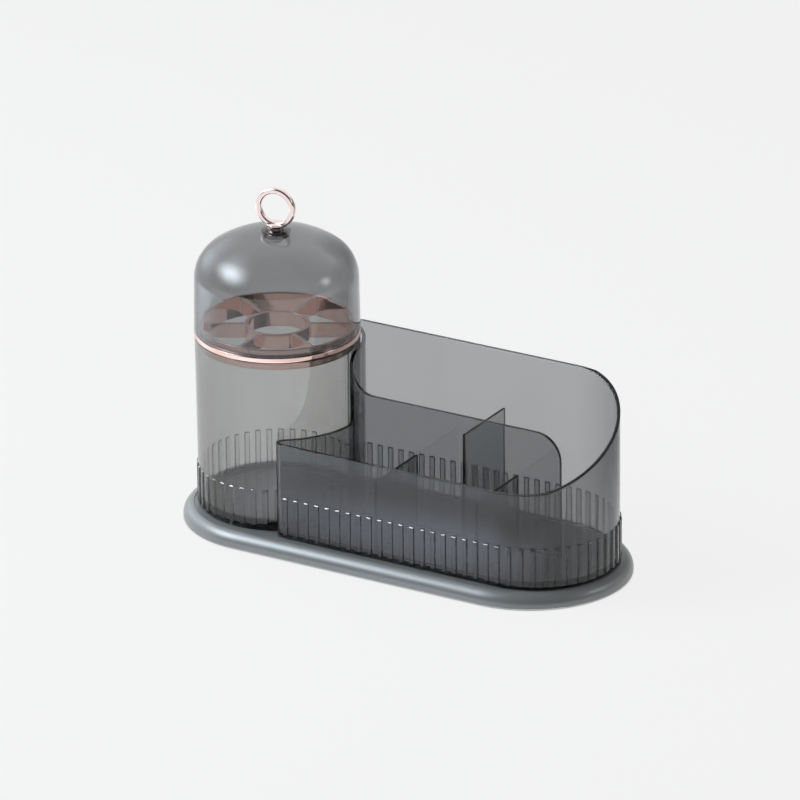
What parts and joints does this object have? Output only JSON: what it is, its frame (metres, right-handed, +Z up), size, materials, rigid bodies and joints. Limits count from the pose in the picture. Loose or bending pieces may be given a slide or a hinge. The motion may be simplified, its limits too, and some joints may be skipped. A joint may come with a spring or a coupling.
{
  "type": "makeup brush box",
  "caption": "Clear brush tumbler with a domed lid and spoked insert beside an open compartment box, both on one low tray.",
  "frame": {"origin": "centre of the tray's footprint, on the surface that the pads stand on", "axes": "+X along the tray from the tumbler towards the round end of the box, +Y towards the tall back wall, +Z up"},
  "size_m": [0.2844, 0.119, 0.2037],
  "materials": {
    "smoky_styrene": "clear grey-tinted styrene, moulded and polished",
    "tray_abs": "satin blue-grey ABS with a fine metallic sheen",
    "rose_gold_plate": "vacuum-plated rose gold over ABS, polished",
    "rose_gold_metal": "rose-gold plated zinc casting, polished",
    "pad_rubber": "soft translucent grey silicone, matt",
    "screw_steel": "zinc-plated steel"
  },
  "bodies": {
    "base": {"tray": "tray_abs", "anti_slip_pad_1": "pad_rubber", "anti_slip_pad_2": "pad_rubber", "anti_slip_pad_3": "pad_rubber", "anti_slip_pad_4": "pad_rubber", "anti_slip_pad_5": "pad_rubber", "anti_slip_pad_6": "pad_rubber"},
    "tumbler": {"brush_tumbler": "smoky_styrene"},
    "insert": {"divider_insert": "rose_gold_plate"},
    "lid": {"dome_lid": "smoky_styrene", "finial_ring": "rose_gold_metal", "finial_screw": "screw_steel", "finial_washer": "screw_steel"},
    "box": {"compartment_box": "smoky_styrene"}
  },
  "joints": [
    {"name": "tumbler_lift", "type": "slide", "parent": "base", "child": "tumbler", "axis": [0, 0, 1], "range_m": [0, 0.11]},
    {"name": "insert_lift", "type": "slide", "parent": "tumbler", "child": "insert", "axis": [0, 0, 1], "range_m": [0, 0.03]},
    {"name": "lid_lift", "type": "slide", "parent": "insert", "child": "lid", "axis": [0, 0, 1], "range_m": [0, 0.06]},
    {"name": "box_lift", "type": "slide", "parent": "base", "child": "box", "axis": [0, 0, 1], "range_m": [0, 0.2]}
  ]
}
